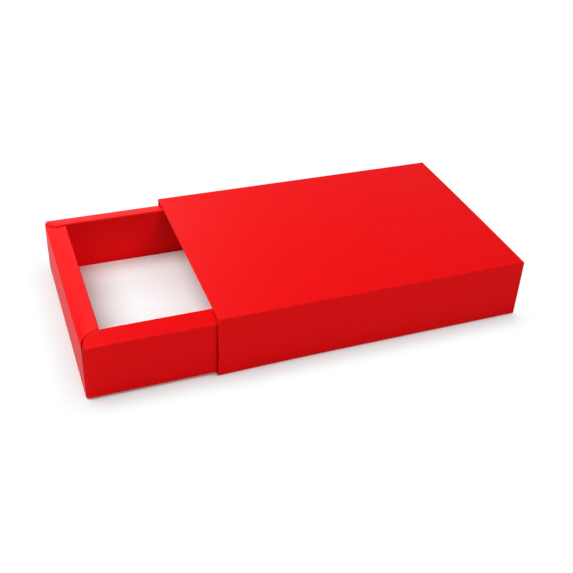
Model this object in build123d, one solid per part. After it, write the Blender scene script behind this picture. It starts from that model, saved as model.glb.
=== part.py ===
from build123d import *
from math import atan, cos, degrees
import os

# Sliding drawer gift box: an open-ended sleeve of folded card with a hollow-walled tray inside it.
# Frame: the origin is the middle of the sleeve's underside, X runs along the slide, Z is up.
# The tray rests pulled out of the sleeve towards -X, with its wide rim and white floor in view.

# Card, tape and creases (mm)
card = 0.6  # thickness of the red card
tape = 0.15  # thickness of the double-sided tape in every glued joint
crease_inside = 0.3  # inside radius of a fold
cut_gap = 0.15  # gap that the die leaves between two cut edges that meet

# Sleeve
sleeve_length = 200.0
sleeve_width = 140.0
sleeve_height = 40.0
flap_height = 15.0  # glue flap inside the back wall
flap_taper = 6.0  # how far each end of the flap leans in

# Room for the tray inside the sleeve
side_play = 0.9  # at each side
top_play = 0.3
bottom_play = 0.2
end_inset = 0.5  # the shut tray stands this far inside each mouth
pulled_out = 75.0  # how far the tray stands out of the sleeve at rest

# Tray
rim_width = 12.0
rim_rise = 3.0  # the rim climbs this much from its outer to its inner edge
foot_width = 10.0  # foot flaps of the inner walls, under the floor pad
corner_gap = 1.3  # seam between a long wall and the end panel beside it
gusset_length = 22.0
gusset_taper = 4.0
gusset_corner = 3.0  # rounding of a gusset's free corners

# Floor pad
pad_thickness = 3.5
pad_gap = 0.5
pad_corner = 1.0

# Tape strips
foot_tape_width = 6.0
foot_tape_inset = 6.0  # from the foot flap's mitred end
pad_tape_width = 5.0
gusset_tape_width = 12.0
gusset_tape_height = 24.0
seam_tape_margin = 2.5

# Worked out from the sizes above; heights count from the tray's underside
crease = card + crease_inside  # outside radius of a fold
tray_length = sleeve_length - 2 * end_inset
tray_width = sleeve_width - 3 * card - tape - 2 * side_play
tray_top = sleeve_height - 2 * card - top_play - bottom_play  # inner edge of the rim
wall_top = tray_top - rim_rise  # outer edge of the rim
rim_angle = atan(rim_rise / rim_width)
rim_drop = card / cos(rim_angle)  # card thickness straight down through the rim
end_drop = card + cut_gap  # the end rims lie this much lower, under the ears of the long rims
foot_level = 2 * card + tape  # top of the foot flaps
pad_level = foot_level + tape
foot_edge = rim_width + foot_width  # free edge of a foot flap, from the wall's outer face
gusset_face = card + tape  # from an end panel's face in to the gusset's face
gusset_foot = crease + cut_gap
gusset_top = wall_top - end_drop - rim_drop - 2 * cut_gap
end_x = -tray_length / 2  # outer face of the left end
front_y = -tray_width / 2  # outer face of the front wall
wall_end = tray_length / 2 - gusset_face - crease  # where a long wall starts to turn into a gusset
tray_place = Pos(
    tray_length / 2 - sleeve_length / 2 - pulled_out,
    -(card + tape) / 2,
    card + bottom_play,
)


def back_points(face_points):
    """The points moved one card thickness to the right of their line."""
    points = [Vector(*point) for point in face_points]
    legs = [(b - a).normalized() for a, b in zip(points, points[1:])]
    rights = [Vector(leg.Y, -leg.X) for leg in legs]
    corners = zip(points[1:-1], rights, rights[1:])
    moved = [point + (one + two) * (card / (1 + one.dot(two))) for point, one, two in corners]
    return [points[0] + rights[0] * card, *moved, points[-1] + rights[-1] * card]


def folded_card(face_points, bends, half_length, plane):
    """Card folded along a line and run both ways from the plane.

    The points follow the face that shows, with the card's thickness to the right of the line,
    and bends holds the face's radius at each fold.
    """
    face_line = FilletPolyline(*face_points, radius=bends)
    back_bends = [crease + crease_inside - bend for bend in bends]
    back_line = FilletPolyline(*back_points(face_points), radius=back_bends)
    cut_edges = [Line(face_line @ end, back_line @ end) for end in (0, 1)]
    section = make_face([*face_line.edges(), *back_line.edges(), *cut_edges])
    return extrude(plane * section, amount=half_length, both=True)


def both_ways(shape, plane):
    """The shape and its mirror image."""
    return shape + mirror(shape, about=plane)


def prism(outline, low, high):
    """Upright prism over a plan outline."""
    return extrude(Pos(0, 0, low) * outline, amount=high - low, dir=(0, 0, 1))


def wall_points(outer, top_drop):
    """Show face of a hollow wall: base, outer panel, sloped rim, inner panel and foot flap."""
    return [
        (outer + 2 * crease, 0),
        (outer, 0),
        (outer, wall_top - top_drop),
        (outer + rim_width, tray_top - top_drop),
        (outer + rim_width, foot_level),
        (outer + foot_edge, foot_level),
    ]


def hollow_wall(outer, top_drop, half_length, plane):
    bends = [crease, crease, crease, crease_inside]
    return folded_card(wall_points(outer, top_drop), bends, half_length, plane)


def front_wall():
    """Long hollow wall whose rim ends in two quarter-round ears."""
    wall = hollow_wall(front_y, 0, tray_length / 2, Plane.YZ)
    under_rim = Plane(
        origin=(0, front_y, wall_top - rim_drop),
        x_dir=(1, 0, 0),
        z_dir=(0, -rim_rise, rim_width),
    )
    ear = rim_width - gusset_face
    rim_outline = Pos(0, front_y) * RectangleRounded(tray_length - 2 * gusset_face, 2 * rim_width, ear)
    rim = split(wall, bisect_by=under_rim, keep=Keep.TOP) & prism(rim_outline, 0, sleeve_height)
    mitre = tray_length / 2 - cut_gap / 2
    middle = rim_width / 2
    right_half = Polygon(
        (0, front_y - 1),
        (wall_end, front_y - 1),
        (wall_end, front_y + middle),
        (mitre - middle, front_y + middle),
        (mitre - foot_edge, front_y + foot_edge),
        (0, front_y + foot_edge),
        align=None,
    )
    panels = split(wall, bisect_by=under_rim, keep=Keep.BOTTOM)
    panels &= prism(both_ways(right_half, Plane.YZ), -1, sleeve_height)
    return rim + panels


def left_wall():
    """End hollow wall: its outer panel covers the gussets and its rim is mitred under the ears."""
    wall = hollow_wall(end_x, end_drop, tray_width / 2 - corner_gap, Plane.XZ)
    mitre = tray_width / 2 - cut_gap / 2
    back_half = Polygon(
        (end_x - 1, 0),
        (end_x - 1, mitre),
        (end_x, mitre),
        (end_x + foot_edge, mitre - foot_edge),
        (end_x + foot_edge, 0),
        align=None,
    )
    return wall & prism(both_ways(back_half, Plane.XZ), -1, sleeve_height)


def front_left_gusset():
    """Flap that turns the corner from the front wall and is glued behind the end panel."""
    corner = end_x + gusset_face
    face_points = [(2 * crease - wall_end, front_y), (corner, front_y), (corner, front_y + gusset_length)]
    flap = folded_card(face_points, [crease], sleeve_height, Plane.XY)
    tip = front_y + gusset_length
    outline = Polygon(
        (front_y, gusset_foot),
        (front_y + crease, gusset_foot),
        (tip, gusset_foot + gusset_taper),
        (tip, gusset_top - gusset_taper),
        (front_y + crease, gusset_top),
        (front_y, gusset_top),
        align=None,
    )
    outline = fillet(outline.vertices().filter_by(lambda v: v.X > tip - 0.1), gusset_corner)
    return flap & extrude(Plane.YZ * outline, amount=tray_length, both=True)


def make_tray():
    """Tray folded from one sheet: base, four hollow walls and four corner gussets."""
    base = Pos(0, 0, card / 2) * Box(tray_length - 2 * crease, tray_width - 2 * crease, card)
    tray = base + both_ways(front_wall(), Plane.XZ) + both_ways(left_wall(), Plane.YZ)
    gussets = both_ways(both_ways(front_left_gusset(), Plane.XZ), Plane.YZ)
    return tray + gussets


def make_sleeve():
    """Open-ended sleeve folded from one sheet, with its glue flap inside the back wall."""
    half = sleeve_width / 2
    flap_face = half - card - tape
    face_points = [
        (flap_face, flap_height),
        (flap_face, 0),
        (-half, 0),
        (-half, sleeve_height),
        (half, sleeve_height),
        (half, 0),
    ]
    sleeve = folded_card(face_points, [crease] * 4, sleeve_length / 2, Plane.YZ)
    end = sleeve_length / 2
    waste = Polygon(
        (end + 1, crease),
        (end + 1, flap_height + 1),
        (end - flap_taper, flap_height + 1),
        (end - flap_taper, flap_height),
        (end - cut_gap, crease),
        align=None,
    )
    waste = Pos(0, flap_face + tape / 2, 0) * extrude(Plane.XZ * waste, amount=card + tape)
    return sleeve - both_ways(waste, Plane.YZ)


def seam_tape():
    """Tape between the sleeve's glue flap and its back wall."""
    low = crease + seam_tape_margin
    high = flap_height - seam_tape_margin
    length = sleeve_length - 2 * (flap_taper + seam_tape_margin)
    middle = (0, sleeve_width / 2 - card - tape / 2, (low + high) / 2)
    return Pos(*middle) * Box(length, tape, high - low)


def long_foot_tape():
    """Tape under the front foot flap."""
    length = tray_length - 2 * (foot_edge + foot_tape_inset)
    return Pos(0, front_y + rim_width + foot_width / 2, card + tape / 2) * Box(length, foot_tape_width, tape)


def end_foot_tape():
    """Tape under the left foot flap."""
    length = tray_width - 2 * (foot_edge + foot_tape_inset)
    return Pos(end_x + rim_width + foot_width / 2, 0, card + tape / 2) * Box(foot_tape_width, length, tape)


def pad_tape():
    """Tape between the front foot flap and the floor pad."""
    length = tray_length - 2 * (foot_edge + foot_tape_inset)
    return Pos(0, front_y + rim_width + foot_width / 2, foot_level + tape / 2) * Box(length, pad_tape_width, tape)


def gusset_tape():
    """Tape between the front left gusset and the end panel."""
    middle = (end_x + card + tape / 2, front_y + gusset_length / 2, (gusset_foot + gusset_top) / 2)
    return Pos(*middle) * Box(tape, gusset_tape_width, gusset_tape_height)


def make_floor_pad():
    """White-faced board that lies on the foot flaps."""
    length = tray_length - 2 * (rim_width + pad_gap)
    width = tray_width - 2 * (rim_width + pad_gap)
    pad = Pos(0, 0, pad_level + pad_thickness / 2) * Box(length, width, pad_thickness)
    return fillet(pad.edges().filter_by(Axis.Z), pad_corner)


def tray_pieces():
    """Every piece that slides with the tray, in the tray's own frame."""
    pieces = {"tray": make_tray(), "floor_pad": make_floor_pad()}
    turned = {"front": Rot(0, 0, 0), "back": Rot(0, 0, 180)}
    for side, turn in turned.items():
        pieces[f"foot_tape_{side}"] = turn * long_foot_tape()
        pieces[f"pad_tape_{side}"] = turn * pad_tape()
        pieces[f"gusset_tape_{side}_{'left' if side == 'front' else 'right'}"] = turn * gusset_tape()
    for end, turn in {"left": Rot(0, 0, 0), "right": Rot(0, 0, 180)}.items():
        pieces[f"foot_tape_{end}"] = turn * end_foot_tape()
    other_corner = mirror(gusset_tape(), about=Plane.XZ)
    pieces["gusset_tape_back_left"] = other_corner
    pieces["gusset_tape_front_right"] = Rot(0, 0, 180) * other_corner
    return pieces


def write_parts():
    os.makedirs("parts", exist_ok=True)
    nodes = {"sleeve": make_sleeve(), "sleeve_seam_tape": seam_tape()}
    for name, piece in tray_pieces().items():
        nodes[name] = tray_place * piece
    for name, shape in nodes.items():
        export_step(shape, f"parts/{name}.step")
    return nodes


write_parts()
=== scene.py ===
from math import atan, atan2, cos, pi, radians, sin, sqrt, tan

import bpy
from mathutils import Matrix, Vector


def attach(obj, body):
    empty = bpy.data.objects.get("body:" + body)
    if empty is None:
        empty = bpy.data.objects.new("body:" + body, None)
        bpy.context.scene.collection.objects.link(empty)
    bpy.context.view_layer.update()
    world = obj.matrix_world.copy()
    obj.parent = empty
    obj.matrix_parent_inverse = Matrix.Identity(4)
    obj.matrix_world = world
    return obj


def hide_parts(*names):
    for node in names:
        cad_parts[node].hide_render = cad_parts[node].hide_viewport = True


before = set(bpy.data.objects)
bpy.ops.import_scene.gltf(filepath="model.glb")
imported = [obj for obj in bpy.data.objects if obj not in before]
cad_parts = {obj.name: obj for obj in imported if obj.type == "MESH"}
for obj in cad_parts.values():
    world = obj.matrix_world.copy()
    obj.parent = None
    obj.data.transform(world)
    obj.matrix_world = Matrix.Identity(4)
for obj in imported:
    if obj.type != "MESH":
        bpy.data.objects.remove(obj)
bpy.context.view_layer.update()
mm = 0.001

# what the sleeve and the tray are folded from
card = {
    "thickness": 0.6 * mm,
    "insideRadius": 0.3 * mm,
    "tape": 0.15 * mm,
    "cutGap": 0.15 * mm,
    "stepsPerFold": 8,
    "legStep": 6 * mm,
    "nearFold": (0.25 * mm, 0.7 * mm, 1.4 * mm, 2.6 * mm),  # extra points beside each fold
    # the fold attribute carries both rubbed wear and a painted highlight along each fold
    "foldBlend": 1.4 * mm,  # how far from a fold its wear reaches
    "leastStep": 0.02 * mm,
    "roundSteps": 18,  # along a leg with a curved end
    "bowSpan": 100 * mm,  # a panel this wide bows by the full bow
}
foldRadius = card["thickness"] + card["insideRadius"]
sharpAngle = radians(35)
weldDistance = 0.001 * mm


def addNode(tree, kind, values=None, **settings):
    node = tree.nodes.new(kind)
    for name, value in settings.items():
        setattr(node, name, value)
    for name, value in (values or {}).items():
        node.inputs[name].default_value = value
    return node


def link(tree, fromNode, fromSocket, toNode, toSocket):
    tree.links.new(fromNode.outputs[fromSocket], toNode.inputs[toSocket])


def groupSocket(tree, name, direction, kind, default=None):
    socket = tree.interface.new_socket(name=name, in_out=direction, socket_type=kind)
    if default is not None:
        socket.default_value = default
    return socket


def buildToothGroup():
    # fine tooth of the card: short fibres over a slow mottling
    tree = bpy.data.node_groups.new("cardTooth", "ShaderNodeTree")
    groupSocket(tree, "Fibre Scale", "INPUT", "NodeSocketFloat", 1800.0)
    groupSocket(tree, "Mottle Scale", "INPUT", "NodeSocketFloat", 60.0)
    groupSocket(tree, "Height", "OUTPUT", "NodeSocketFloat")
    groupSocket(tree, "Mottle", "OUTPUT", "NodeSocketFloat")
    inputs = addNode(tree, "NodeGroupInput")
    outputs = addNode(tree, "NodeGroupOutput")
    place = addNode(tree, "ShaderNodeTexCoord")
    stretch = addNode(tree, "ShaderNodeMapping", {"Scale": (0.35, 1.0, 1.0), "Rotation": (0.0, 0.0, 0.3)})
    fibre = addNode(tree, "ShaderNodeTexNoise", {"Detail": 4.0, "Roughness": 0.6, "Distortion": 0.6})
    fleck = addNode(tree, "ShaderNodeTexVoronoi", feature="F1")
    fleckScale = addNode(tree, "ShaderNodeMath", {1: 0.6}, operation="MULTIPLY")
    mottle = addNode(tree, "ShaderNodeTexNoise", {"Detail": 3.0, "Roughness": 0.5})
    both = addNode(tree, "ShaderNodeMath", {1: 0.3}, operation="MULTIPLY_ADD")
    link(tree, place, "Object", stretch, "Vector")
    link(tree, stretch, "Vector", fibre, "Vector")
    link(tree, place, "Object", fleck, "Vector")
    link(tree, place, "Object", mottle, "Vector")
    link(tree, inputs, "Fibre Scale", fibre, "Scale")
    link(tree, inputs, "Fibre Scale", fleckScale, 0)
    link(tree, fleckScale, 0, fleck, "Scale")
    link(tree, inputs, "Mottle Scale", mottle, "Scale")
    link(tree, fleck, "Distance", both, 0)
    link(tree, fibre, "Fac", both, 2)
    link(tree, both, 0, outputs, "Height")
    link(tree, mottle, "Fac", outputs, "Mottle")
    return tree


def buildFoldWearAndHighlightGroup():
    # rubbed folds with a painted highlight along them: the fold attribute broken up by noise
    tree = bpy.data.node_groups.new("foldWearAndHighlight", "ShaderNodeTree")
    groupSocket(tree, "Break Up Scale", "INPUT", "NodeSocketFloat", 350.0)
    groupSocket(tree, "Amount", "INPUT", "NodeSocketFloat", 0.5)
    groupSocket(tree, "Wear And Highlight", "OUTPUT", "NodeSocketFloat")
    groupSocket(tree, "Cut Edge", "OUTPUT", "NodeSocketFloat")
    inputs = addNode(tree, "NodeGroupInput")
    outputs = addNode(tree, "NodeGroupOutput")
    fold = addNode(tree, "ShaderNodeAttribute", attribute_name="fold")
    cut = addNode(tree, "ShaderNodeAttribute", attribute_name="cutEdge")
    place = addNode(tree, "ShaderNodeTexCoord")
    noise = addNode(tree, "ShaderNodeTexNoise", {"Detail": 5.0, "Roughness": 0.65})
    ramp = addNode(tree, "ShaderNodeMapRange", {"From Min": 0.35, "From Max": 0.7})
    wornAndHighlighted = addNode(tree, "ShaderNodeMath", operation="MULTIPLY")
    scaled = addNode(tree, "ShaderNodeMath", operation="MULTIPLY")
    link(tree, place, "Object", noise, "Vector")
    link(tree, inputs, "Break Up Scale", noise, "Scale")
    link(tree, noise, "Fac", ramp, "Value")
    link(tree, ramp, "Result", wornAndHighlighted, 0)
    link(tree, fold, "Fac", wornAndHighlighted, 1)
    link(tree, wornAndHighlighted, 0, scaled, 0)
    link(tree, inputs, "Amount", scaled, 1)
    link(tree, scaled, 0, outputs, "Wear And Highlight")
    link(tree, cut, "Fac", outputs, "Cut Edge")
    return tree


toothGroup = buildToothGroup()
foldWearAndHighlightGroup = buildFoldWearAndHighlightGroup()
print("shader groups built")


def newMaterial(name):
    material = bpy.data.materials.new(name)
    material.use_nodes = True
    tree = material.node_tree
    tree.nodes.clear()
    output = addNode(tree, "ShaderNodeOutputMaterial")
    shader = addNode(tree, "ShaderNodeBsdfPrincipled")
    link(tree, shader, "BSDF", output, "Surface")
    return material, tree, shader


def colourMix(tree, low, high, factorNode, factorSocket):
    mix = addNode(tree, "ShaderNodeMix", {"A": (*low, 1.0), "B": (*high, 1.0)}, data_type="RGBA")
    link(tree, factorNode, factorSocket, mix, "Factor")
    return mix


def addTooth(tree, values):
    sizes = {"Fibre Scale": values["fibreScale"], "Mottle Scale": values["mottleScale"]}
    return addNode(tree, "ShaderNodeGroup", sizes, node_tree=toothGroup)


def addBump(tree, shader, heightNode, heightSocket, values):
    bump = addNode(tree, "ShaderNodeBump", {"Strength": values["bump"], "Distance": values["depth"]})
    link(tree, heightNode, heightSocket, bump, "Height")
    link(tree, bump, "Normal", shader, "Normal")


redCard = {
    "deep": (0.82, 0.0018, 0.0034),
    "bright": (0.86, 0.0026, 0.0042),
    # lighter colour along the folds: rubbed wear and a painted highlight
    "wornAndHighlighted": (0.88, 0.012, 0.014),
    "cut": (0.90, 0.03, 0.03),
    "roughnessLow": 0.38,
    "roughnessHigh": 0.47,
    "gloss": 0.045,
    "fibreScale": 1800.0,
    "mottleScale": 45.0,
    "bump": 0.6,
    "depth": 0.02 * mm,
    "wearAndHighlight": 0.45,
}


def makeRedCard(values):
    material, tree, shader = newMaterial("redCard")
    tooth = addTooth(tree, values)
    wearAndHighlight = addNode(tree, "ShaderNodeGroup", node_tree=foldWearAndHighlightGroup)
    wearAndHighlight.inputs["Amount"].default_value = values["wearAndHighlight"]
    dyed = colourMix(tree, values["deep"], values["bright"], tooth, "Mottle")
    # lighter along the folds: rubbed wear and a painted highlight
    wornAndHighlighted = addNode(tree, "ShaderNodeMix", {"B": (*values["wornAndHighlighted"], 1.0)}, data_type="RGBA")
    edged = addNode(tree, "ShaderNodeMix", {"B": (*values["cut"], 1.0)}, data_type="RGBA")
    link(tree, dyed, "Result", wornAndHighlighted, "A")
    link(tree, wearAndHighlight, "Wear And Highlight", wornAndHighlighted, "Factor")
    link(tree, wornAndHighlighted, "Result", edged, "A")
    link(tree, wearAndHighlight, "Cut Edge", edged, "Factor")
    link(tree, edged, "Result", shader, "Base Color")
    roughness = {"To Min": values["roughnessLow"], "To Max": values["roughnessHigh"]}
    rough = addNode(tree, "ShaderNodeMapRange", roughness)
    link(tree, tooth, "Height", rough, "Value")
    link(tree, rough, "Result", shader, "Roughness")
    addBump(tree, shader, tooth, "Height", values)
    shader.inputs["Specular IOR Level"].default_value = values["gloss"]
    return material


whiteBoard = {
    "shade": (0.87, 0.935, 0.94),
    "bright": (0.89, 0.955, 0.96),
    "roughness": 0.6,
    "gloss": 0.15,
    "fibreScale": 1100.0,
    "mottleScale": 30.0,
    "bump": 0.5,
    "depth": 0.03 * mm,
}


def makeWhiteBoard(values):
    material, tree, shader = newMaterial("whiteBoard")
    tooth = addTooth(tree, values)
    paper = colourMix(tree, values["shade"], values["bright"], tooth, "Mottle")
    link(tree, paper, "Result", shader, "Base Color")
    addBump(tree, shader, tooth, "Height", values)
    shader.inputs["Roughness"].default_value = values["roughness"]
    shader.inputs["Specular IOR Level"].default_value = values["gloss"]
    return material


tapeStrip = {
    "tissue": (0.78, 0.74, 0.62),
    "glue": (0.70, 0.62, 0.44),
    "roughness": 0.35,
    "blotchScale": 400.0,
    "bump": 0.3,
    "depth": 0.02 * mm,
}


def makeTape(values):
    material, tree, shader = newMaterial("tapeStrip")
    place = addNode(tree, "ShaderNodeTexCoord")
    blotch = addNode(tree, "ShaderNodeTexNoise", {"Scale": values["blotchScale"], "Detail": 4.0})
    link(tree, place, "Object", blotch, "Vector")
    tissue = colourMix(tree, values["tissue"], values["glue"], blotch, "Fac")
    link(tree, tissue, "Result", shader, "Base Color")
    addBump(tree, shader, blotch, "Fac", values)
    shader.inputs["Roughness"].default_value = values["roughness"]
    return material


redMaterial = makeRedCard(redCard)
whiteMaterial = makeWhiteBoard(whiteBoard)
tapeMaterial = makeTape(tapeStrip)
print("materials built")


# folded card: a section line of legs and rounded folds, swept along X
def sheetLine(corners, radii, rules):
    # corners are (y, z) places; each leg and each fold between two legs has its own reach rule
    corners = [Vector(corner) for corner in corners]
    ways = [(b - a).normalized() for a, b in zip(corners, corners[1:])]
    turns = [atan2(a.x * b.y - a.y * b.x, a.dot(b)) for a, b in zip(ways, ways[1:])]
    trims = [0.0] + [radius * tan(abs(turn) / 2) for turn, radius in zip(turns, radii)] + [0.0]
    points = []
    for k, way in enumerate(ways):
        start = corners[k] + way * trims[k]
        length = (corners[k + 1] - corners[k]).length - trims[k] - trims[k + 1]
        points += legPoints(start, way, length, rules[2 * k], k > 0, k < len(turns))
        if k < len(turns):
            points += foldPoints(start + way * length, way, turns[k], radii[k], rules[2 * k + 1])
    return points


def legPoints(start, way, length, rule, foldBefore, foldAfter):
    steps = max(2, int(length / card["legStep"]))
    places = {length * i / steps for i in range(steps + 1)}
    for near in card["nearFold"]:
        if near < length / 2:
            places |= {near, length - near}
    if rule in curvedEnds:
        for i in range(card["roundSteps"] + 1):
            share = sin(radians(90 * i / card["roundSteps"]))
            places |= {length * (1 - share), length * share}
    kept = []
    for s in sorted(places):
        if not kept or s - kept[-1] > card["leastStep"]:
            kept.append(s)
    points = []
    for s in kept:
        fromFold = min(s if foldBefore else length, length - s if foldAfter else length)
        fold = max(0.0, 1.0 - fromFold / card["foldBlend"]) ** 2
        bulge = sin(pi * s / length) * length / card["bowSpan"] if rule not in lyingFlat else 0.0
        at = start + way * s
        points.append((at.x, at.y, *rule(at), fold, bulge))
    return points


def baseRule(at):
    return halfLength - foldRadius, 0.0


def sleeveUnderside(at):
    return sleeve["length"] / 2, 0.0


lyingFlat = (baseRule, sleeveUnderside)  # panels that rest on something and so don't bow


def foldPoints(start, way, turn, radius, rule):
    arm = Vector((way.y, -way.x)) * (radius if turn > 0 else -radius)
    steps = max(3, round(card["stepsPerFold"] * abs(turn) / (pi / 2)))
    points = []
    for i in range(1, steps):
        angle = turn * i / steps
        turned = Vector((arm.x * cos(angle) - arm.y * sin(angle), arm.x * sin(angle) + arm.y * cos(angle)))
        at = start - arm + turned
        points.append((at.x, at.y, *rule(at), 1.0, 0.0))
    return points


def buildFoldTree():
    # one card sheet: the section's points swept along X, thickened to the back, cut edges marked
    tree = bpy.data.node_groups.new("foldedCard", "GeometryNodeTree")
    groupSocket(tree, "Geometry", "INPUT", "NodeSocketGeometry")
    groupSocket(tree, "Thickness", "INPUT", "NodeSocketFloat", card["thickness"])
    groupSocket(tree, "Rows", "INPUT", "NodeSocketInt", 41)
    groupSocket(tree, "Bow", "INPUT", "NodeSocketFloat", 0.0)
    groupSocket(tree, "Ripple", "INPUT", "NodeSocketFloat", 0.0)
    groupSocket(tree, "Ripple Scale", "INPUT", "NodeSocketFloat", 14.0)
    groupSocket(tree, "Seed", "INPUT", "NodeSocketFloat", 1.0)
    groupSocket(tree, "End Gather", "INPUT", "NodeSocketFloat", 1.0)
    groupSocket(tree, "Card", "INPUT", "NodeSocketMaterial")
    groupSocket(tree, "Geometry", "OUTPUT", "NodeSocketGeometry")
    inputs = addNode(tree, "NodeGroupInput")
    outputs = addNode(tree, "NodeGroupOutput")

    # a grid with one column of points for every point of the section
    size = addNode(tree, "GeometryNodeAttributeDomainSize", component="MESH")
    grid = addNode(tree, "GeometryNodeMeshGrid", {"Size X": 1.0, "Size Y": 1.0})
    link(tree, inputs, "Geometry", size, "Geometry")
    link(tree, inputs, "Rows", grid, "Vertices X")
    link(tree, size, "Point Count", grid, "Vertices Y")
    index = addNode(tree, "GeometryNodeInputIndex")
    across = addNode(tree, "ShaderNodeMath", operation="MODULO")
    along = addNode(tree, "ShaderNodeMath", operation="DIVIDE")
    row = addNode(tree, "ShaderNodeMath", operation="FLOOR")
    last = addNode(tree, "ShaderNodeMath", {1: 1.0}, operation="SUBTRACT")
    share = addNode(tree, "ShaderNodeMath", operation="DIVIDE")
    centred = addNode(tree, "ShaderNodeMath", {1: 2.0, 2: -1.0}, operation="MULTIPLY_ADD")
    side = addNode(tree, "ShaderNodeMath", operation="SIGN")
    away = addNode(tree, "ShaderNodeMath", operation="ABSOLUTE")
    toEnd = addNode(tree, "ShaderNodeMath", {0: 1.0}, operation="SUBTRACT")
    closer = addNode(tree, "ShaderNodeMath", operation="POWER")
    fromMiddle = addNode(tree, "ShaderNodeMath", {0: 1.0}, operation="SUBTRACT")
    gathered = addNode(tree, "ShaderNodeMath", operation="MULTIPLY")
    link(tree, index, "Index", across, 0)
    link(tree, size, "Point Count", across, 1)
    link(tree, index, "Index", along, 0)
    link(tree, size, "Point Count", along, 1)
    link(tree, along, 0, row, 0)
    link(tree, inputs, "Rows", last, 0)
    link(tree, row, 0, share, 0)
    link(tree, last, 0, share, 1)
    link(tree, share, 0, centred, 0)
    link(tree, centred, 0, side, 0)
    link(tree, centred, 0, away, 0)
    link(tree, away, 0, toEnd, 1)
    link(tree, toEnd, 0, closer, 0)
    link(tree, inputs, "End Gather", closer, 1)
    link(tree, closer, 0, fromMiddle, 1)
    link(tree, side, 0, gathered, 0)
    link(tree, fromMiddle, 0, gathered, 1)

    def sampled(kind, source, outputName):
        sample = addNode(tree, "GeometryNodeSampleIndex", data_type=kind, domain="POINT")
        link(tree, inputs, "Geometry", sample, "Geometry")
        link(tree, source, outputName, sample, "Value")
        link(tree, across, 0, sample, "Index")
        return sample

    def stored(fromNode, name):
        attribute = addNode(tree, "GeometryNodeInputNamedAttribute", {"Name": name}, data_type="FLOAT")
        sample = sampled("FLOAT", attribute, "Attribute")
        store = addNode(tree, "GeometryNodeStoreNamedAttribute", {"Name": name}, data_type="FLOAT",
                        domain="POINT")
        link(tree, fromNode[0], fromNode[1], store, "Geometry")
        link(tree, sample, "Value", store, "Value")
        return store

    current = (grid, "Mesh")
    for name in ("reach", "mitre", "fold", "bulge"):
        current = (stored(current, name), "Geometry")
    position = addNode(tree, "GeometryNodeInputPosition")
    sectionPlace = sampled("FLOAT_VECTOR", position, "Position")
    reach = addNode(tree, "GeometryNodeInputNamedAttribute", {"Name": "reach"}, data_type="FLOAT")
    wide = addNode(tree, "ShaderNodeMath", operation="MULTIPLY")
    link(tree, gathered, 0, wide, 0)
    link(tree, reach, "Attribute", wide, 1)
    spread = addNode(tree, "ShaderNodeCombineXYZ")
    link(tree, wide, 0, spread, "X")
    placed = addNode(tree, "ShaderNodeVectorMath", operation="ADD")
    link(tree, sectionPlace, "Value", placed, 0)
    link(tree, spread, "Vector", placed, 1)
    swept = addNode(tree, "GeometryNodeSetPosition")
    link(tree, current[0], current[1], swept, "Geometry")
    link(tree, placed, "Vector", swept, "Position")

    # slight bow of each panel and a slow ripple of the card, none of it at the folds
    bulge = addNode(tree, "GeometryNodeInputNamedAttribute", {"Name": "bulge"}, data_type="FLOAT")
    here = addNode(tree, "GeometryNodeInputPosition")
    ripple = addNode(tree, "ShaderNodeTexNoise", {"Detail": 1.0}, noise_dimensions="4D")
    link(tree, here, "Position", ripple, "Vector")
    link(tree, inputs, "Ripple Scale", ripple, "Scale")
    link(tree, inputs, "Seed", ripple, "W")
    level = addNode(tree, "ShaderNodeMath", {1: 0.5}, operation="SUBTRACT")
    rippled = addNode(tree, "ShaderNodeMath", operation="MULTIPLY_ADD")
    lifted = addNode(tree, "ShaderNodeMath", operation="MULTIPLY")
    link(tree, ripple, "Fac", level, 0)
    link(tree, level, 0, rippled, 0)
    link(tree, inputs, "Ripple", rippled, 1)
    link(tree, inputs, "Bow", rippled, 2)
    link(tree, rippled, 0, lifted, 0)
    link(tree, bulge, "Attribute", lifted, 1)
    normal = addNode(tree, "GeometryNodeInputNormal")
    push = addNode(tree, "ShaderNodeVectorMath", operation="SCALE")
    link(tree, normal, "Normal", push, 0)
    link(tree, lifted, 0, push, "Scale")
    bowed = addNode(tree, "GeometryNodeSetPosition")
    link(tree, swept, "Geometry", bowed, "Geometry")
    link(tree, push, "Vector", bowed, "Offset")

    # the back: a flipped copy pushed through the card's thickness, its mitred ends leaning out
    flipped = addNode(tree, "GeometryNodeFlipFaces")
    thick = addNode(tree, "GeometryNodeExtrudeMesh", {"Individual": False}, mode="FACES")
    link(tree, bowed, "Geometry", flipped, "Mesh")
    link(tree, flipped, "Mesh", thick, "Mesh")
    link(tree, inputs, "Thickness", thick, "Offset Scale")
    mitre = addNode(tree, "GeometryNodeInputNamedAttribute", {"Name": "mitre"}, data_type="FLOAT")
    reachBack = addNode(tree, "GeometryNodeInputNamedAttribute", {"Name": "reach"}, data_type="FLOAT")
    placeBack = addNode(tree, "GeometryNodeInputPosition")
    parted = addNode(tree, "ShaderNodeSeparateXYZ")
    perReach = addNode(tree, "ShaderNodeMath", operation="DIVIDE")
    lean = addNode(tree, "ShaderNodeMath", operation="MULTIPLY")
    leanBy = addNode(tree, "ShaderNodeMath", operation="MULTIPLY")
    leanOut = addNode(tree, "ShaderNodeCombineXYZ")
    link(tree, placeBack, "Position", parted, "Vector")
    link(tree, parted, "X", perReach, 0)
    link(tree, reachBack, "Attribute", perReach, 1)
    link(tree, perReach, 0, lean, 0)
    link(tree, mitre, "Attribute", lean, 1)
    link(tree, lean, 0, leanBy, 0)
    link(tree, inputs, "Thickness", leanBy, 1)
    link(tree, leanBy, 0, leanOut, "X")
    backLeaned = addNode(tree, "GeometryNodeSetPosition")
    link(tree, thick, "Mesh", backLeaned, "Geometry")
    link(tree, thick, "Top", backLeaned, "Selection")
    link(tree, leanOut, "Vector", backLeaned, "Offset")
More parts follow.
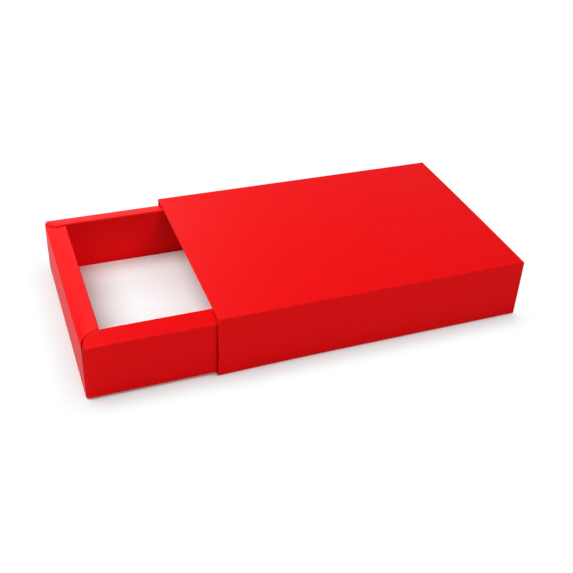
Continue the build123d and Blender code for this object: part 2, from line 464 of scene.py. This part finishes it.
    marked = addNode(tree, "GeometryNodeStoreNamedAttribute", {"Name": "cutEdge"}, data_type="FLOAT",
                     domain="FACE")
    link(tree, backLeaned, "Geometry", marked, "Geometry")
    link(tree, thick, "Side", marked, "Value")
    joined = addNode(tree, "GeometryNodeJoinGeometry")
    link(tree, bowed, "Geometry", joined, "Geometry")
    link(tree, marked, "Geometry", joined, "Geometry")
    welded = addNode(tree, "GeometryNodeMergeByDistance", {"Distance": weldDistance})
    link(tree, joined, "Geometry", welded, "Geometry")

    smoothFaces = addNode(tree, "GeometryNodeSetShadeSmooth", {"Shade Smooth": True}, domain="FACE")
    smoothEdges = addNode(tree, "GeometryNodeSetShadeSmooth", {"Shade Smooth": False}, domain="EDGE")
    edgeAngle = addNode(tree, "GeometryNodeInputMeshEdgeAngle")
    steep = addNode(tree, "FunctionNodeCompare", {"B": sharpAngle}, data_type="FLOAT",
                    operation="GREATER_THAN")
    link(tree, welded, "Geometry", smoothFaces, "Geometry")
    link(tree, smoothFaces, "Geometry", smoothEdges, "Geometry")
    link(tree, edgeAngle, "Unsigned Angle", steep, "A")
    link(tree, steep, "Result", smoothEdges, "Selection")
    realized = addNode(tree, "GeometryNodeRealizeInstances")
    dressed = addNode(tree, "GeometryNodeSetMaterial")
    link(tree, smoothEdges, "Geometry", realized, "Geometry")
    link(tree, realized, "Geometry", dressed, "Geometry")
    link(tree, inputs, "Card", dressed, "Material")
    link(tree, dressed, "Geometry", outputs, "Geometry")
    return tree


foldTree = buildFoldTree()
print("folded card tree built")


def foldedSheet(points, place, values, seed):
    # the section becomes a line of points with their attributes, and the tree folds the sheet
    line = bpy.data.meshes.new("section")
    line.from_pydata([(0.0, p[0], p[1]) for p in points], [(i, i + 1) for i in range(len(points) - 1)], [])
    for column, name in enumerate(("reach", "mitre", "fold", "bulge")):
        attribute = line.attributes.new(name, "FLOAT", "POINT")
        attribute.data.foreach_set("value", [p[2 + column] for p in points])
    holder = bpy.data.objects.new("section", line)
    bpy.context.scene.collection.objects.link(holder)
    modifier = holder.modifiers.new("fold", "NODES")
    modifier.node_group = foldTree
    sizes = {"Rows": values["rows"], "Bow": values["bow"], "Ripple": values["ripple"], "Seed": seed,
             "End Gather": values["endGather"], "Card": redMaterial, "Thickness": card["thickness"]}
    for item in foldTree.interface.items_tree:
        if item.in_out == "INPUT" and item.name in sizes:
            modifier[item.identifier] = sizes[item.name]
    evaluated = holder.evaluated_get(bpy.context.evaluated_depsgraph_get())
    sheet = bpy.data.meshes.new_from_object(evaluated)
    bpy.data.objects.remove(holder)
    sheet.transform(place)
    return sheet


def joinSheets(name, sheets):
    parts = []
    for sheet in sheets:
        part = bpy.data.objects.new(name, sheet)
        bpy.context.scene.collection.objects.link(part)
        parts.append(part)
    if len(parts) > 1:
        with bpy.context.temp_override(active_object=parts[0], selected_editable_objects=parts,
                                       selected_objects=parts):
            bpy.ops.object.join()
    parts[0].name = name
    parts[0].data.name = name
    return parts[0]


sleeve = {
    "length": 200 * mm,
    "width": 140 * mm,
    "height": 40 * mm,
    "flapHeight": 15 * mm,
    "flapTaper": 6 * mm,
    "bow": 0.22 * mm,
    "ripple": 0.25 * mm,
    "rows": 51,
    "endGather": 1.4,
    "mouthLength": 80 * mm,
    "mouthOut": 0.9 * mm,
    "mouthUp": 0.6 * mm,
}


def makeSleeve(values):
    half, high = values["width"] / 2, values["height"]
    end = values["length"] / 2
    flapFace = half - card["thickness"] - card["tape"]
    flapEnd = end - values["flapTaper"]

    def full(at):
        return end, 0.0

    def glueFlap(at):
        # the flap's ends lean in towards its free edge
        up = max(0.0, at.y - foldRadius) / (values["flapHeight"] - foldRadius)
        inset = card["cutGap"] + (end - flapEnd - card["cutGap"]) * up
        return end - inset, 0.0

    corners = [(flapFace, values["flapHeight"]), (flapFace, 0), (-half, 0), (-half, high), (half, high),
               (half, 0)]
    rules = [glueFlap, full, sleeveUnderside] + [full] * 6
    points = sheetLine(corners, [foldRadius] * 4, rules)
    sheet = foldedSheet(points, Matrix(), values, 1.0)
    for vertex in sheet.vertices:
        # the near side of the mouth stands a little open from use
        x, y, z = vertex.co
        toMouth = max(0.0, 1 - (x + end) / values["mouthLength"]) ** 2
        toFront = max(0.0, -y / half)
        vertex.co.y -= values["mouthOut"] * toMouth * toFront
        vertex.co.z += values["mouthUp"] * toMouth * toFront * z / high
    return joinSheets("sleeveCard", [sheet])


tray = {
    "length": 199 * mm,
    "width": 136.25 * mm,
    "place": (-75.5 * mm, -0.375 * mm, 0.8 * mm),
    "rimWidth": 12 * mm,
    "rimRise": 3 * mm,
    "top": 38.3 * mm,
    "footWidth": 10 * mm,
    "footLevel": 1.35 * mm,
    "endDrop": 0.75 * mm,
    "cornerGap": 1.3 * mm,
    "gussetLength": 22 * mm,
    "gussetTaper": 4 * mm,
    "gussetCorner": 3 * mm,
    "bow": 0.25 * mm,
    "ripple": 0.3 * mm,
    "rows": 81,
    "endGather": 1.8,
    "earGap": 0.12 * mm,
    "earSoftness": 0.3 * mm,  # how gently a settled ear bends over the mitre
    "openEarGap": (0.75 * mm, 0.3 * mm),  # between an open ear and the end rim, at its tip and its root
    "openEarSag": 0.75 * mm,
    "openEarLength": 26 * mm,
    "endRimLift": (0.4 * mm, 0.8),  # beside an open ear, and the share of the slope's own rise
    "settled": {"frontLeft": 0.0, "frontRight": 1.0, "backLeft": 1.0, "backRight": 1.0},
}
flap = {"rows": 15, "bow": 0.0, "ripple": 0.0, "endGather": 1.0}
halfLength = tray["length"] / 2
halfWidth = tray["width"] / 2
rimAngle = atan(tray["rimRise"] / tray["rimWidth"])
rimDrop = card["thickness"] / cos(rimAngle)
wallTop = tray["top"] - tray["rimRise"]
gussetFace = card["thickness"] + card["tape"]
wallEnd = halfLength - gussetFace - foldRadius
footEdge = tray["rimWidth"] + tray["footWidth"]


def earRule(at):
    # the long rims end in quarter-round ears, in line with the ends of the long walls
    radius = tray["rimWidth"] - gussetFace
    inward = min(radius, max(0.0, halfWidth - abs(at.x) - gussetFace))
    return halfLength - tray["rimWidth"] + sqrt(radius ** 2 - inward ** 2), 0.0


def longMitre(at):
    return halfLength - (halfWidth - abs(at.x)) - card["cutGap"] / 2, 1.0


def endRim(at):
    mitreHalf = halfWidth - card["cutGap"] / 2
    return min(halfWidth - tray["cornerGap"], mitreHalf - (at.x + halfLength)), 0.0


curvedEnds = (earRule, endRim)


def outerWall(at):
    return wallEnd, 0.0


def wallFold(at):
    underRim = wallTop - rimDrop
    return earRule(at) if at.y > underRim else outerWall(at)


def wallCorners(outer, drop):
    # base, outer wall, sloped rim, inner wall and foot flap, from the outside in
    width, foot = tray["rimWidth"], tray["footLevel"]
    return [(outer, 0), (outer, wallTop - drop), (outer + width, tray["top"] - drop),
            (outer + width, foot), (outer + footEdge, foot)]


def longSheet():
    # one sheet from the front foot flap, over the front wall, under the floor and up the back wall
    front = wallCorners(-halfWidth, 0)
    back = [(-y, z) for y, z in front]
    corners = back[::-1] + front
    inner = card["insideRadius"]
    radii = [inner] + [foldRadius] * 6 + [inner]
    oneWall = [longMitre, longMitre, longMitre, earRule, earRule, wallFold, outerWall, outerWall]
    rules = oneWall + [baseRule] + oneWall[::-1]
    return sheetLine(corners, radii, rules)


def endSheet():
    # the left end: a base strip, the outer panel over the gussets, the mitred rim and inner wall
    drop = tray["endDrop"]
    mitreHalf = halfWidth - card["cutGap"] / 2

    def panel(at):
        return halfWidth - tray["cornerGap"], 0.0

    def upright(at):
        return mitreHalf - (at.x + halfLength), 1.0

    corners = [(2 * foldRadius - halfLength, 0)] + wallCorners(-halfLength, drop)
    radii = [foldRadius] * 3 + [card["insideRadius"]]
    rules = [panel, panel, panel, endRim, endRim, endRim, upright, upright, upright]
    return sheetLine(corners, radii, rules)


gussetLow = foldRadius + card["cutGap"]
gussetHigh = wallTop - tray["endDrop"] - rimDrop - 2 * card["cutGap"]


def gussetSheet(side):
    # a flap that turns the corner from a long wall and lies behind the end panel
    corner = gussetFace - halfLength
    half = (gussetHigh - gussetLow) / 2
    length = tray["gussetLength"]

    def height(at):
        inward = halfWidth - abs(at.y)
        lean = tray["gussetTaper"] * max(0.0, inward - foldRadius) / (length - foldRadius)
        toTip = max(0.0, length - inward)
        rounding = tray["gussetCorner"]
        cut = rounding - sqrt(max(0.0, rounding ** 2 - (rounding - toTip) ** 2)) if toTip < rounding else 0.0
        return half - lean - cut, 0.0

    wall = side * halfWidth
    corners = [(-wallEnd, wall), (corner, wall), (corner, wall - side * length)]
    if side > 0:
        corners.reverse()
    points = sheetLine(corners, [foldRadius], [height] * 3)
    return points


def cornerName(x, y):
    return ("front" if y < 0 else "back") + ("Left" if x < 0 else "Right")


def settleEars(sheet, values):
    # a settled ear bends over the mitre down to the end rim, an open one only sags a little
    slope = values["rimRise"] / values["rimWidth"]
    soft = values["earSoftness"]
    for vertex in sheet.vertices:
        x, y, z = vertex.co
        inX, inY = halfLength - abs(x), halfWidth - abs(y)
        if z < wallTop - rimDrop or inX > values["openEarLength"]:
            continue
        over = slope * (inY - inX) + values["endDrop"] - rimDrop - values["earGap"]
        down = max(0.0, (over + sqrt(over ** 2 + soft ** 2)) / 2 - soft / 2)
        sag = values["openEarSag"] * (1 - inX / values["openEarLength"]) ** 2
        settled = values["settled"][cornerName(x, y)]
        vertex.co.z -= settled * down + (1 - settled) * sag


def openEars(sheet, values):
    # beside an open ear the end rim comes up and stops along the ear's curve, clear of it
    width, radius = values["rimWidth"], values["rimWidth"] - gussetFace
    slope = values["rimRise"] / width
    tipGap, rootGap = values["openEarGap"]
    lift, rise = values["endRimLift"]
    for vertex in sheet.vertices:
        x, y, z = vertex.co
        inX = halfLength - abs(x)
        if z < wallTop - values["endDrop"] - foldRadius or inX > width + card["leastStep"] / 2:
            continue
        opened = 1 - values["settled"][cornerName(x, y)]
        inward = width - inX
        gap = tipGap + (rootGap - tipGap) * max(0.0, 1 - inward / radius)
        earEdge = gussetFace + sqrt(max(0.0, (radius + gap) ** 2 - inward ** 2))
        rimEnd = max(values["cornerGap"], inX + card["cutGap"] / 2)
        cut = max(0.0, earEdge - rimEnd) / (halfWidth - rimEnd)
        y *= 1 - cut * opened
        near = max(0.0, 1 - (halfWidth - abs(y) - earEdge) / (2 * values["openEarLength"])) ** 3
        vertex.co.y = y
        vertex.co.z += opened * near * (lift + rise * slope * max(0.0, earEdge - gap - inX))


def makeTray(values):
    place = Matrix.Translation(values["place"])
    halfTurn = Matrix.Rotation(pi, 4, "Z")
    endTurn = Matrix(((0, 1, 0, 0), (-1, 0, 0, 0), (0, 0, 1, 0), (0, 0, 0, 1)))
    upright = Matrix(((0, 1, 0, 0), (0, 0, 1, 0), (1, 0, 0, 0), (0, 0, 0, 1)))
    longWalls = foldedSheet(longSheet(), Matrix(), values, 2.0)
    settleEars(longWalls, values)
    longWalls.transform(place)
    sheets = [longWalls]
    for number, turn in enumerate((Matrix(), halfTurn)):
        end = foldedSheet(endSheet(), turn @ endTurn, values, 3.0 + number)
        openEars(end, values)
        end.transform(place)
        sheets.append(end)
        for side in (-1, 1):
            lift = Matrix.Translation((0, 0, (gussetLow + gussetHigh) / 2))
            sheets.append(foldedSheet(gussetSheet(side), place @ turn @ lift @ upright, flap, 5.0))
    return joinSheets("trayCard", sheets)


pad = {
    "size": (174 * mm, 111.25 * mm, 3.5 * mm),
    "level": 1.5 * mm,
    "corner": 1 * mm,
    "leastCorner": 0.2 * mm,
    "cornerSteps": 6,
    "softEdge": 0.35 * mm,
    "softSteps": 4,
}


def roundedOutline(halfX, halfY, radius, steps):
    outline = []
    for quarter in range(4):
        centre = (halfX - radius) * (1, -1, -1, 1)[quarter], (halfY - radius) * (1, 1, -1, -1)[quarter]
        for i in range(steps + 1):
            angle = pi / 2 * (quarter + i / steps)
            outline.append((centre[0] + radius * cos(angle), centre[1] + radius * sin(angle)))
    return outline


def makePad(values):
    # rings of a rounded outline, from the underside up one soft edge and over the other to the face
    length, width, thickness = values["size"]
    soft, steps = values["softEdge"], values["cornerSteps"]
    rings = []
    for lower in (True, False):
        for i in range(values["softSteps"] + 1):
            angle = pi / 2 * i / values["softSteps"]
            inset = soft * (1 - sin(angle)) if lower else soft * (1 - cos(angle))
            height = soft * (1 - cos(angle)) if lower else thickness - soft * (1 - sin(angle))
            rings.append((inset, height))
    vertices, faces = [], []
    for inset, height in rings:
        radius = max(values["corner"] - inset, values["leastCorner"])
        outline = roundedOutline(length / 2 - inset, width / 2 - inset, radius, steps)
        vertices += [(x, y, height) for x, y in outline]
    count = 4 * (steps + 1)
    for ring in range(len(rings) - 1):
        for i in range(count):
            j = (i + 1) % count
            faces.append((ring * count + i, ring * count + j, (ring + 1) * count + j, (ring + 1) * count + i))
    faces.append(tuple(range(count))[::-1])
    faces.append(tuple(range((len(rings) - 1) * count, len(rings) * count)))
    mesh = bpy.data.meshes.new("floorPad")
    mesh.from_pydata(vertices, [], faces)
    mesh.shade_smooth()
    mesh.set_sharp_from_angle(angle=sharpAngle)
    x, y, z = tray["place"]
    mesh.transform(Matrix.Translation((x, y, z + values["level"])))
    mesh.materials.append(whiteMaterial)
    board = bpy.data.objects.new("floorPad", mesh)
    bpy.context.scene.collection.objects.link(board)
    return board


sleeveCard = makeSleeve(sleeve)
print("sleeve folded")
trayCard = makeTray(tray)
print("tray folded")
floorPad = makePad(pad)
print("floor pad made")

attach(sleeveCard, "sleeve_body")
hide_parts("sleeve")
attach(trayCard, "tray_body")
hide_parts("tray")
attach(floorPad, "tray_body")
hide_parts("floor_pad")

# tape strips stay as they come from the CAD model
for name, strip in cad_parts.items():
    if "tape" in name:
        strip.data.materials.clear()
        strip.data.materials.append(tapeMaterial)
print("tape strips dressed")


# close to the box the camera sees more of the lit floor with its shadow, further out the floor's own white
studio = {
    "floorSize": 6.0,
    "floorColour": 0.9,
    "floorRoughness": 0.9,
    "shadowReach": 18 * mm,
    "clearRays": 16,
    # how much of the air above a spot is clear, and how white the floor is there
    "ownWhite": ((0.44, 0.08), (0.51, 0.6), (0.75, 0.78), (0.97, 1.0)),
    "whitePower": 1.45,
    "ambient": 0.04,
    "aim": (-0.03, 0.0, 0.02),
}

# azimuth from +Y towards +X and elevation in degrees, distance and size in metres, power in watts
softboxes = {
    "keySoftbox": {"azimuth": 292, "elevation": 60, "away": 1.0, "size": 0.8, "power": 8.8},
    "backSoftbox": {"azimuth": 354, "elevation": 33, "away": 1.3, "size": 0.6, "power": 4.4},
    "frontSoftbox": {"azimuth": 170, "elevation": 33, "away": 1.3, "size": 0.6, "power": 5.6},
}


def seenDirectly(tree):
    # 1 for what the camera sees, straight or in a reflection, 0 for the light that the floor sends on
    path = addNode(tree, "ShaderNodeLightPath")
    mirrored = addNode(tree, "ShaderNodeMath", operation="ADD")
    seen = addNode(tree, "ShaderNodeMath", operation="ADD", use_clamp=True)
    link(tree, path, "Is Glossy Ray", mirrored, 0)
    link(tree, path, "Is Transmission Ray", mirrored, 1)
    link(tree, path, "Is Camera Ray", seen, 0)
    link(tree, mirrored, 0, seen, 1)
    return seen


def makeFloor(values):
    half = values["floorSize"] / 2
    mesh = bpy.data.meshes.new("studioFloor")
    corners = [(-half, -half, 0), (half, -half, 0), (half, half, 0), (-half, half, 0)]
    mesh.from_pydata(corners, [], [(0, 1, 2, 3)])
    floor = bpy.data.objects.new("studioFloor", mesh)
    bpy.context.scene.collection.objects.link(floor)
    material, tree, shader = newMaterial("studioFloor")
    shader.inputs["Roughness"].default_value = values["floorRoughness"]
    shader.inputs["Specular IOR Level"].default_value = 0.0
    shader.inputs["Emission Color"].default_value = (1.0, 1.0, 1.0, 1.0)
    clear = addNode(tree, "ShaderNodeAmbientOcclusion", {"Distance": values["shadowReach"]},
                    samples=values["clearRays"])
    share = addNode(tree, "ShaderNodeValToRGB")
    for number, (at, level) in enumerate(values["ownWhite"]):
        stops = share.color_ramp.elements
        stop = stops[number] if number < 2 else stops.new(at)
        stop.position = at
        stop.color = (level, level, level, 1.0)
    white = addNode(tree, "ShaderNodeMath", {1: values["whitePower"]}, operation="POWER")
    seen = seenDirectly(tree)
    own = addNode(tree, "ShaderNodeMath", operation="MULTIPLY")
    paint = addNode(tree, "ShaderNodeMath", {0: 1.0}, operation="SUBTRACT")
    colour = addNode(tree, "ShaderNodeMath", {1: values["floorColour"]}, operation="MULTIPLY")
    glow = addNode(tree, "ShaderNodeMath", operation="MULTIPLY")
    link(tree, clear, "AO", share, "Fac")
    link(tree, share, "Color", white, 0)
    link(tree, seen, 0, own, 0)
    link(tree, share, "Color", own, 1)
    link(tree, own, 0, paint, 1)
    link(tree, paint, 0, colour, 0)
    link(tree, colour, 0, shader, "Base Color")
    link(tree, seen, 0, glow, 0)
    link(tree, white, 0, glow, 1)
    link(tree, glow, 0, shader, "Emission Strength")
    mesh.materials.append(material)


def makeWorld(values):
    world = bpy.data.worlds.new("studio")
    bpy.context.scene.world = world
    world.use_nodes = True
    tree = world.node_tree
    tree.nodes.clear()
    output = addNode(tree, "ShaderNodeOutputWorld")
    sky = addNode(tree, "ShaderNodeBackground")
    strength = addNode(tree, "ShaderNodeMapRange", {"To Min": values["ambient"], "To Max": 1.0})
    link(tree, seenDirectly(tree), 0, strength, "Value")
    link(tree, strength, "Result", sky, "Strength")
    sky.inputs["Color"].default_value = (1.0, 1.0, 1.0, 1.0)
    link(tree, sky, "Background", output, "Surface")


def makeSoftbox(name, values):
    azimuth, elevation = radians(values["azimuth"]), radians(values["elevation"])
    way = Vector((sin(azimuth) * cos(elevation), cos(azimuth) * cos(elevation), sin(elevation)))
    light = bpy.data.lights.new(name, "AREA")
    light.shape = "DISK"
    light.size = values["size"]
    light.energy = values["power"]
    softbox = bpy.data.objects.new(name, light)
    softbox.location = Vector(studio["aim"]) + way * values["away"]
    softbox.rotation_mode = "QUATERNION"
    softbox.rotation_quaternion = way.to_track_quat("Z", "Y")
    bpy.context.scene.collection.objects.link(softbox)


view = {
    "place": (-0.2158, -0.45495, 0.34979),
    "right": (0.92832, -0.36725, 0.05782),
    "down": (-0.15991, -0.53484, -0.82968),
    "sensor": 36.0,
    "lens": 57.056,
    "nearClip": 10 * mm,
    "shift": (-25 / 573, -25 / 573),
}


def makeCamera(values):
    data = bpy.data.cameras.new("photoView")
    data.sensor_width = values["sensor"]
    data.lens = values["lens"]
    data.clip_start = values["nearClip"]
    data.shift_x, data.shift_y = values["shift"]
    right = Vector(values["right"]).normalized()
    up = -Vector(values["down"])
    up = (up - right * up.dot(right)).normalized()
    back = right.cross(up)
    camera = bpy.data.objects.new("photoView", data)
    turned = Matrix((right, up, back)).transposed().to_4x4()
    camera.matrix_world = Matrix.Translation(values["place"]) @ turned
    bpy.context.scene.collection.objects.link(camera)
    bpy.context.scene.camera = camera


makeFloor(studio)
makeWorld(studio)
for name, values in softboxes.items():
    makeSoftbox(name, values)
makeCamera(view)
bpy.context.scene.view_settings.view_transform = "Standard"
print("studio set up")
